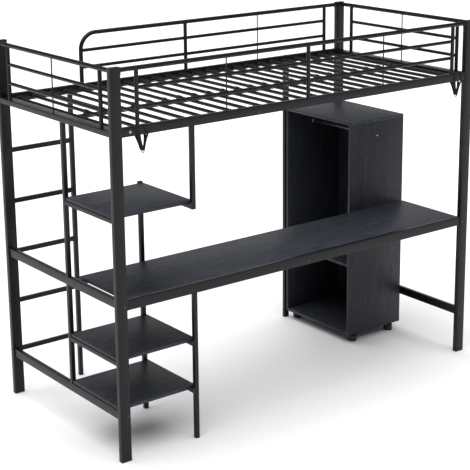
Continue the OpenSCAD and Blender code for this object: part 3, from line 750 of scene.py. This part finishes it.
class LOFTBED_OT_slats(bpy.types.Operator):
    """Build the slats, their end cups, the two bearers, the centre bar and its clips"""
    bl_idname = "loftbed.slats"
    bl_label = "Slats"

    def execute(self, context):
        xs, bearers = slat_places()
        lo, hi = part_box("slats")
        z = (lo.z + hi.z) / 2
        plain = [((x, 0, z), (0, 1, 0)) for i, x in enumerate(xs) if i not in bearers]
        held = [((x, 0, z), (0, 1, 0)) for i, x in enumerate(xs) if i in bearers]
        items_piece("slats_tubes", slat_item(hi.y - lo.y), plain, "steel", "frame_steel", "slats")
        lo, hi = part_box("cross_bearers")
        items_piece("cross_bearer_tubes", slat_item(hi.y - lo.y), held, "steel", "frame_steel",
                    "cross_bearers")
        lo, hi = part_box("slat_end_cups")
        places = [((place_at[0], y, z), (0, turn, 0)) for y, turn in ((lo.y, 1), (hi.y, -1))
                  for place_at, _ in plain]
        items_piece("slat_cups", cup_item(), places, "plastic", "plastic", "slat_end_cups")
        box_bars(X, "centre_bar")
        items_piece("slat_clips", clip_item(), [((x, 0, z), (0, 0, 1)) for x in xs], "plastic",
                    "plastic", "centre_clips")
        return {"FINISHED"}


# ---------------------------------------------------------------- ladder and lower frame

class LOFTBED_OT_ladder(bpy.types.Operator):
    """Build the ladder's upright and rungs, and the back middle post"""
    bl_idname = "loftbed.ladder"
    bl_label = "Ladder"

    def execute(self, context):
        box_bars(Z, "ladder_upright", "back_middle_post")
        box_bars(X, *(f"rung_{i}" for i in range(1, 6)), radius=0.003)
        return {"FINISHED"}


CROSS_T = 0.020
TAB_T = 0.003
TAB_HALF = 0.009
TAB_EDGE = 0.0008
LEFT_DESK_BAR_H = 0.040
RIGHT_DESK_BAR_H = 0.020
TAB_BACK = 0.002    # how far behind a crossbar's outer face its tabs start


def crossbar(name, side):
    """A crossbar between two legs, with its drilled tabs behind them."""
    lo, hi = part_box(name)
    bolt_z = (lo.z + hi.z) / 2 if "bottom" in name else middle_z("desk_screws")
    low_z, high_z = {"left_desk_crossbar": (hi.z - LEFT_DESK_BAR_H, hi.z),
                     "right_desk_crossbar": (lo.z, lo.z + RIGHT_DESK_BAR_H)
                     }.get(name, (lo.z, hi.z))
    outer, inner = (lo.x, hi.x) if side > 0 else (hi.x, lo.x)
    x0, x1 = span(outer, outer + side * CROSS_T)
    bm = bmesh.new()
    add_bar(bm, (x0, lo.y, low_z), (x1, hi.y, high_z), Y)
    t0, t1 = span(outer + side * TAB_BACK, inner)
    for y0, y1 in ((lo.y, lo.y + TAB_T), (hi.y - TAB_T, hi.y)):
        add_block(bm, (t0, y0, bolt_z - TAB_HALF), (t1, y1, bolt_z + TAB_HALF), TAB_EDGE)
    drawn_piece(name + "_tube", bm, "steel", "frame_steel", name)


class LOFTBED_OT_crossbars(bpy.types.Operator):
    """Build the crossbars between the legs and the left middle post"""
    bl_idname = "loftbed.crossbars"
    bl_label = "Crossbars"

    def execute(self, context):
        crossbar("left_bottom_crossbar", 1)
        crossbar("left_desk_crossbar", 1)
        crossbar("right_bottom_crossbar", -1)
        crossbar("right_desk_crossbar", -1)
        box_bars(Z, "left_middle_post_lower", "left_middle_post_upper")
        return {"FINISHED"}


class LOFTBED_OT_tower(bpy.types.Operator):
    """Build the shelf tower's posts and the bars under the shelves"""
    bl_idname = "loftbed.tower"
    bl_label = "Shelf tower"

    def execute(self, context):
        box_bars(Z, "tower_back_post", "tower_front_post", "tower_hanging_post")
        lo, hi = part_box("shelf_bearers")
        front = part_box("tower_front_post")[1].y
        depth = 0.020
        bars = []
        for shelf in ("upper_shelf", "middle_shelf", "bottom_shelf"):
            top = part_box(shelf)[0].z
            bars.append(((hi.x - depth, front, top - depth), (hi.x, hi.y, top), Y))
            if shelf != "bottom_shelf":
                bars.append(((lo.x, lo.y, top - depth), (lo.x + depth, hi.y, top), Y))
        bar_piece("shelf_bearer_tubes", bars, "shelf_bearers")
        return {"FINISHED"}


# ---------------------------------------------------------------- desk and boards

def board_piece(name, node, thin, grain):
    """A melamine board with edging on its narrow faces."""
    lo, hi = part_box(node)
    bm = bmesh.new()
    add_block(bm, lo, hi, sizes().board_edge)
    bm.normal_update()
    for face in bm.faces:
        face.material_index = 0 if abs(face.normal[thin]) > 0.9 else 1
    add_piece(name, to_mesh(bm, name, 50), [grain, "edge"], "board", node)


class LOFTBED_OT_desk(bpy.types.Operator):
    """Build the desk's beams, braces and board"""
    bl_idname = "loftbed.desk"
    bl_label = "Desk"
    tab_l = 0.030       # how far a beam's tab runs in from the post
    brace = 0.020
    def execute(self, context):
        lo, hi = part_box("desk_front_beam")
        bolt_z = middle_z("desk_screws")
        bm = bmesh.new()
        add_bar(bm, (LEFT + POST[0], lo.y, lo.z),
                (RIGHT - POST[0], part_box("desk_top")[0].y, hi.z), X)
        for side in (1, -1):
            x0, x1 = span(flip_x(lo.x, side), flip_x(LEFT + POST[0] + self.tab_l, side))
            add_block(bm, (x0, hi.y - TAB_T, bolt_z - TAB_HALF), (x1, hi.y, bolt_z + TAB_HALF),
                      TAB_EDGE)
        drawn_piece("desk_front_beam_tube", bm, "steel", "frame_steel", "desk_front_beam")
        box_bars(X, "desk_back_beam")
        lo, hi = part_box("desk_braces")
        bar_piece("desk_brace_tubes",
                  [((x, lo.y, lo.z), (x + self.brace, hi.y, hi.z), Y)
                   for x in (lo.x, -self.brace / 2, hi.x - self.brace)], "desk_braces")
        board_piece("desk_board", "desk_top", Z, "board_x")
        return {"FINISHED"}


class LOFTBED_OT_shelves(bpy.types.Operator):
    """Build the three open shelves"""
    bl_idname = "loftbed.shelves"
    bl_label = "Shelves"

    def execute(self, context):
        for name in ("upper_shelf", "middle_shelf", "bottom_shelf"):
            board_piece(name + "_board", name, Z, "board_x")
        return {"FINISHED"}


class LOFTBED_OT_wardrobe(bpy.types.Operator):
    """Build the wardrobe's panels, shelf, hanging rail and feet"""
    bl_idname = "loftbed.wardrobe"
    bl_label = "Wardrobe"

    def execute(self, context):
        for part in ("near", "far"):
            board_piece(f"wardrobe_{part}_board", f"wardrobe_{part}_panel", Y, "board_z")
        for part in ("top", "bottom", "shelf"):
            board_piece(f"wardrobe_{part}_board", f"wardrobe_{part}", Z, "board_y")
        board_piece("wardrobe_back_board", "wardrobe_back", X, "board_z")
        self.hanging_rail()
        self.feet()
        return {"FINISHED"}

    def hanging_rail(self):
        lo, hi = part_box("clothes_rail")
        r = (hi.x - lo.x) / 2
        centre = ((lo.x + hi.x) / 2, 0, (lo.z + hi.z) / 2)
        bm = bmesh.new()
        add_lathe(bm, [(0, lo.y), (r, lo.y), (r, hi.y), (0, hi.y)], 28, centre, Y)
        drawn_piece("hanging_rail", bm, "hanger", "rail_chrome", "clothes_rail")
        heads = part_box("clothes_rail_cups")
        near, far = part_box("wardrobe_near_panel"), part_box("wardrobe_far_panel")
        flange, flange_t = r + 0.004, 0.003
        sleeve, depth = r + 0.0025, 0.012
        head_r, recess_r, recess = 0.0045, 0.0015, 0.0006
        bm = bmesh.new()
        # the cup on each panel's inside, and its screw's head on the panel's outer face
        for inside, face, head, d in ((near[1].y, near[0].y, heads[0].y, 1),
                                      (far[0].y, far[1].y, heads[1].y, -1)):
            cup = [(0, inside), (flange, inside), (flange, inside + d * flange_t),
                   (sleeve, inside + d * 1.5 * flange_t), (sleeve, inside + d * depth),
                   (0, inside + d * depth)]
            screw = [(0, head + d * recess), (recess_r, head + d * recess), (0.0019, head),
                     (0.0036, head + d * 0.0002), (head_r, face - d * 0.0004), (head_r, face),
                     (0, face)]
            for profile in (cup, screw):
                add_lathe(bm, profile if d > 0 else profile[::-1], 28, centre, Y)
        drawn_piece("hanging_rail_cups", bm, "zinc", "rail_chrome", "clothes_rail_cups")

    def feet(self):
        lo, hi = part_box("wardrobe_feet")
        height = hi.z
        r = 0.023
        edge = 0.003
        profile = [(0, 0), (r - edge, 0), (r - 0.0009, 0.0009), (r, edge), (r, height * 0.72),
                   (r - 0.002, height * 0.75), (r * 0.62, height * 0.78), (r * 0.55, height),
                   (0, height)]
        item = item_mesh("foot", lambda bm: add_lathe(bm, profile, 36))
        places = [((x, y, 0), (0, 0, 1)) for x in (lo.x + r, hi.x - r)
                  for y in (lo.y + r, hi.y - r)]
        items_piece("wardrobe_glides", item, places, "plastic", "plastic", "wardrobe_feet")


# ---------------------------------------------------------------- caps, bolts and straps

class LOFTBED_OT_caps(bpy.types.Operator):
    """Build the plastic caps on the posts' tops and feet"""
    bl_idname = "loftbed.caps"
    bl_label = "Caps"
    top_edge = 0.0012
    foot_edge = 0.0010

    def execute(self, context):
        self.post_plugs("post_top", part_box("left_upper_frame")[1].z,
                        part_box("post_top_caps")[1].z, self.top_edge)
        self.post_plugs("post_foot", 0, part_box("front_left_leg")[0].z, self.foot_edge)
        bm = bmesh.new()
        for name in ("ladder_upright", "tower_back_post", "tower_front_post",
                     "back_middle_post"):
            lo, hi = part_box(name)
            add_block(bm, (lo.x, lo.y, 0), (hi.x, hi.y, lo.z), self.foot_edge, 3)
        drawn_piece("thin_post_foot_plugs", bm, "plastic", "plastic", "thin_post_foot_caps")
        return {"FINISHED"}

    def post_plugs(self, name, low, high, edge):
        """The caps of the four posts, between two heights."""
        bm = bmesh.new()
        for x in (LEFT, RIGHT - POST[0]):
            for y in (FRONT, BACK - POST[1]):
                add_block(bm, (x, y, low), (x + POST[0], y + POST[1], high), edge, 3)
        drawn_piece(name + "_plugs", bm, "plastic", "plastic", name + "_caps")


BOLT_R = 0.0065


def bolt_item():
    """A truss-head furniture bolt with a hexagon socket; Z points out of the head."""
    r, h, socket, depth = BOLT_R, 0.0025, 0.0020, 0.0014
    dome = [(r * math.cos(a), h * (0.25 + 0.75 * math.sin(a)))
            for a in (math.radians(d) for d in (8, 26, 44, 60))]
    profile = [(0, -0.004), (0.003, -0.004), (0.003, 0), (r, 0)] + dome
    rim = len(profile)
    profile += [(socket, h), (socket, h - depth), (0, h - depth)]

    def hexagon(number, angle):
        if number < rim:
            return profile[number][0]
        sixth = math.pi / 3
        return socket / math.cos(angle % sixth - sixth / 2)
    return item_mesh("bolt", lambda bm: add_lathe(bm, profile, 24, shape=hexagon))


class LOFTBED_OT_bolts(bpy.types.Operator):
    """Build the bolts of the frame, rails, rungs, hung posts and desk"""
    bl_idname = "loftbed.bolts"
    bl_label = "Bolts"

    def execute(self, context):
        desk_z = middle_z("desk_screws")
        slat_z = middle_z("slats")
        rail_z = (RAIL_LO.z + RAIL_HI.z) / 2
        rung_zs = [middle_z(f"rung_{i}") for i in range(1, 6)]
        lo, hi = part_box("rung_bolts")
        rung_y = (lo.y + hi.y) / 2
        ladder_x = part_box("ladder_upright")[1].x
        lo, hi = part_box("rail_bolts")
        xs, bearers = slat_places()
        rows = [(lo.x + BOLT_R, rail_z), (hi.x - BOLT_R, rail_z)]
        rows += [(xs[i], slat_z) for i in sorted(bearers)]
        rail_bolts = [((x, -side * RAIL_LO.y, z), (0, side, 0)) for x, z in rows for side in (1, -1)]
        posts = []
        for name, y in (("tower_hanging_post", FRONT + GUARD_IN),
                        ("ladder_upright", BACK - GUARD_IN), ("back_middle_post", BACK - GUARD_IN)):
            lo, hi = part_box(name)
            posts.append((((lo.x + hi.x) / 2, y, RAIL_HI.z), (0, 0, 1)))
        groups = {
            "frame_bolts": self.corners("frame_bolts"),
            "desk_screws": self.corners("desk_screws")
            + [((0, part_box("desk_front_beam")[0].y, desk_z), (0, -1, 0))],
            "rail_bolts": rail_bolts[2:],
            "rung_bolts": [((x, rung_y, z), (turn, 0, 0)) for x, turn in ((LEFT, -1), (ladder_x, 1))
                           for z in rung_zs],
            "post_bolts": posts,
        }
        # painted highlight: the pair at the left end of the side rails gets the bright zinc finish,
        # though every rail bolt is the same black zinc bolt
        items_piece("bright_rail_bolts", bolt_item(), rail_bolts[:2], "zinc", "fastener", angle=30)
        for name, places in groups.items():
            items_piece(name + "_heads", bolt_item(), places, "bolt", "fastener", name, angle=30)
        return {"FINISHED"}

    def corners(self, node):
        """The four outward-facing places at the corners of a node's box."""
        lo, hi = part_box(node)
        z = (lo.z + hi.z) / 2
        return [((x, side * BACK, z), (0, side, 0))
                for x in (lo.x + BOLT_R, hi.x - BOLT_R) for side in (1, -1)]


def ribbon(bm, uv, stations, width, thickness):
    """Webbing through stations of (centre, across, outward); its UVs are in metres."""
    rings, run, last = [], 0.0, None
    for centre, across, outward in stations:
        centre, across, outward = Vector(centre), Vector(across), Vector(outward)
        run += (centre - last).length if last else 0.0
        last = centre
        a, o = across.normalized() * width / 2, outward.normalized() * thickness / 2
        corners = [centre - a - o, centre + a - o, centre + a + o, centre - a + o]
        rings.append(([bm.verts.new(c) for c in corners], run))
    sides = (0, width, width + thickness, 2 * width + thickness, 2 * width + 2 * thickness)
    for (low, run0), (high, run1) in zip(rings, rings[1:]):
        for i in range(4):
            j = (i + 1) % 4
            face = bm.faces.new((low[i], low[j], high[j], high[i]))
            for loop, place_uv in zip(face.loops, ((run0, sides[i]), (run0, sides[i + 1]),
                                                   (run1, sides[i + 1]), (run1, sides[i]))):
                loop[uv].uv = place_uv
    bm.faces.new(rings[0][0][::-1])
    bm.faces.new(rings[-1][0])


def strap_leg(bm, uv, over_x, under_x, tip, width, twist):
    """One leg of a wall strap: up from its tip, round the side rail and back to its tip."""
    t = 0.0016
    slack = t / 2 + 0.0003
    front_y, back_y = RAIL_LO.y - slack, RAIL_HI.y + slack
    low_z, high_z = RAIL_LO.z - slack, RAIL_HI.z + slack
    steps = 10

    def climb(y, x, sign):
        """The ply between the tip and the rail's lower edge, turning as it falls."""
        for i in range(steps + 1):
            f = i / steps
            angle = twist * (1 - f ** 3)
            start_y = tip.y + sign * t * 0.55
            yield (Vector((tip.x + (x - tip.x) * f, start_y + (y - start_y) * f ** 4,
                           tip.z + (low_z - tip.z) * f)),
                   Vector((math.cos(angle), -math.sin(angle), 0)),
                   Vector((math.sin(angle), math.cos(angle), 0)) * sign)

    across = Vector((1, 0, 0))
    stations = list(climb(front_y, under_x, -1))
    r = 0.002
    for corner_y, first in ((front_y + r, 180), (back_y - r, 90)):
        for i in range(4):
            angle = math.radians(first - 30 * i)
            outward = Vector((0, math.cos(angle), math.sin(angle)))
            stations.append((Vector((over_x, corner_y, high_z - r)) + outward * r, across, outward))
    # behind the rail the band keeps clear of the slats' cups, then folds across under it
    stations.append((Vector((over_x, back_y, RAIL_LO.z + 0.006)), across, Vector((0, 1, 0))))
    stations += list(climb(back_y, under_x, 1))[::-1]
    ribbon(bm, uv, stations, width, t)


class LOFTBED_OT_straps(bpy.types.Operator):
    """Build the two wall anchor straps and their rings"""
    bl_idname = "loftbed.straps"
    bl_label = "Anchor straps"
    fan = 0.034         # how far left of its tip a strap's broad leg spreads under the rail
    lift = 0.004        # how far above the ring's middle the legs end

    def execute(self, context):
        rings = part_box("strap_rings")
        outer = (rings[1].z - rings[0].z) / 2
        tip_z = (rings[0].z + rings[1].z) / 2
        mid_y = (rings[0].y + rings[1].y) / 2
        for node, tip_x in (("anchor_strap_left", rings[0].x + outer),
                            ("anchor_strap_right", rings[1].x - outer)):
            self.strap(node, Vector((tip_x, mid_y, tip_z)))
        bm = bmesh.new()
        bore = 0.004
        half = (rings[1].y - rings[0].y) / 2
        for x in (rings[0].x + outer, rings[1].x - outer):
            profile = [(bore + 0.0005, -half), (outer - 0.001, -half), (outer, -half + 0.0008),
                       (outer, half - 0.0008), (outer - 0.001, half), (bore + 0.0005, half),
                       (bore, half - 0.0008), (bore, -half + 0.0008)]
            add_lathe(bm, profile, 28, (x, mid_y, tip_z), Y)
        drawn_piece("strap_eyelets", bm, "steel", "fastener", "strap_rings")
        return {"FINISHED"}

    def strap(self, node, tip):
        lo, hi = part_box(node)
        # where the broad leg and the narrow leg start along the rail's top
        starts = {"anchor_strap_left": (lo.x, tip.x - 0.003),
                  "anchor_strap_right": (tip.x - 0.0246, tip.x + 0.016)}[node]
        broad, narrow = 0.018, 0.0108
        bm = bmesh.new()
        uv = bm.loops.layers.uv.new("weave")
        for over, under, width, aside, twist in (
                (starts[0], tip.x - self.fan, broad, -0.003, 0.95),
                (starts[1], hi.x - narrow, narrow, 0.004, 1.35)):
            strap_leg(bm, uv, over + width / 2, under + width / 2,
                      tip + Vector((aside, 0, self.lift)), width, twist)
        drawn_piece(node + "_webbing", bm, "webbing", "webbing", node)


# ---------------------------------------------------------------- stage

CAMERA = {
    "place": (-3.87108, -5.02097, 2.63957),     # metres, from the bed's origin
    "turn": (-37.226, -14.464, -0.557),         # degrees: yaw, pitch and roll
    "focal": 2.904915,                          # focal length over the frame's width
    "shift": -0.12766,                          # over the frame's width
}


def camera_turn(yaw, pitch, roll):
    """The rotation of a camera that looks along +Y before it is turned."""
    look = Euler((math.radians(90 + pitch), 0, math.radians(yaw)), "XYZ").to_matrix()
    return (look @ Matrix.Rotation(math.radians(roll), 3, "Z")).to_euler()


class LOFTBED_OT_stage(bpy.types.Operator):
    """Build the floor, the lights and the camera"""
    bl_idname = "loftbed.stage"
    bl_label = "Stage"

    def execute(self, context):
        scene = context.scene
        camera = bpy.data.cameras.new("Camera")
        camera.sensor_width = 36
        camera.lens = 36 * CAMERA["focal"]
        camera.shift_y = CAMERA["shift"]
        camera.clip_end = 100
        holder = bpy.data.objects.new("Camera", camera)
        holder.location = CAMERA["place"]
        holder.rotation_euler = camera_turn(*CAMERA["turn"])
        scene.collection.objects.link(holder)
        scene.camera = holder
        bm = bmesh.new()
        reach = 40
        corners = [(-reach, -reach), (reach, -reach), (reach, reach), (-reach, reach)]
        bm.faces.new([bm.verts.new((x, y, 0)) for x, y in corners])
        mesh = bpy.data.meshes.new("floor")
        bm.to_mesh(mesh)
        bm.free()
        floor = bpy.data.objects.new("floor", mesh)
        scene.collection.objects.link(floor)
        mesh.materials.append(finish_of("floor"))
        scene.view_settings.view_transform = "Standard"
        self.world(scene)
        self.sky(scene, 3.8)
        self.softbox("front", (-3.0, -4.5, 3.6), (0, 0, 0.7), (2.0, 2.0), 8)
        self.softbox("wall", (4.4, 5.8, 2.0), (0, 0, 1.0), (6.0, 3.2), 28)
        return {"FINISHED"}

    def sky(self, scene, strength):
        """A broad overhead light, like a ceiling of diffusers, that reaches all the floor."""
        light = bpy.data.lights.new("ceiling", "SUN")
        light.energy = strength
        light.angle = math.radians(85)
        lamp = bpy.data.objects.new("ceiling", light)
        lamp.rotation_euler = (math.radians(2), math.radians(-8), 0)
        scene.collection.objects.link(lamp)

    def world(self, scene):
        world = bpy.data.worlds.new("Studio")
        scene.world = world
        world.use_nodes = True
        back = world.node_tree.nodes["Background"]
        back.inputs["Color"].default_value = (*linear("f4f6fa"), 1)
        back.inputs["Strength"].default_value = 0.25

    def softbox(self, name, place_at, aim, size, power):
        light = bpy.data.lights.new(name, "AREA")
        light.shape = "RECTANGLE"
        light.size, light.size_y = size
        light.energy = power
        lamp = bpy.data.objects.new(name, light)
        lamp.location = place_at
        lamp.visible_camera = False
        direction = Vector(aim) - Vector(place_at)
        lamp.rotation_euler = direction.to_track_quat("-Z", "Y").to_euler()
        bpy.context.scene.collection.objects.link(lamp)


# ---------------------------------------------------------------- add-on

PIECES = (
    LOFTBED_OT_end_frames, LOFTBED_OT_legs, LOFTBED_OT_side_rails, LOFTBED_OT_guards,
    LOFTBED_OT_slats, LOFTBED_OT_ladder, LOFTBED_OT_crossbars, LOFTBED_OT_tower,
    LOFTBED_OT_desk, LOFTBED_OT_shelves, LOFTBED_OT_wardrobe, LOFTBED_OT_caps,
    LOFTBED_OT_bolts, LOFTBED_OT_straps, LOFTBED_OT_stage,
)


class LOFTBED_PT_panel(bpy.types.Panel):
    """Sizes, colours and pieces of the loft bed"""
    bl_idname = "LOFTBED_PT_panel"
    bl_label = "Loft Bed"
    bl_space_type = "VIEW_3D"
    bl_region_type = "UI"
    bl_category = "Loft Bed"

    def draw(self, context):
        layout = self.layout
        for group in (sizes(), colours()):
            for name in group.bl_rna.properties.keys():
                if name not in ("rna_type", "name"):
                    layout.prop(group, name)
        for piece in PIECES:
            layout.operator(piece.bl_idname)


CLASSES = (LoftBedSizes, LoftBedColours) + PIECES + (LOFTBED_PT_panel,)


def register():
    for cls in CLASSES:
        bpy.utils.register_class(cls)
    bpy.types.Scene.loft_bed_sizes = PointerProperty(type=LoftBedSizes)
    bpy.types.Scene.loft_bed_colours = PointerProperty(type=LoftBedColours)


def unregister():
    del bpy.types.Scene.loft_bed_colours
    del bpy.types.Scene.loft_bed_sizes
    for cls in reversed(CLASSES):
        bpy.utils.unregister_class(cls)


def main():
    register()
    for piece in PIECES:
        group, name = piece.bl_idname.split(".")
        getattr(getattr(bpy.ops, group), name)()


if __name__ == "__main__":
    main()
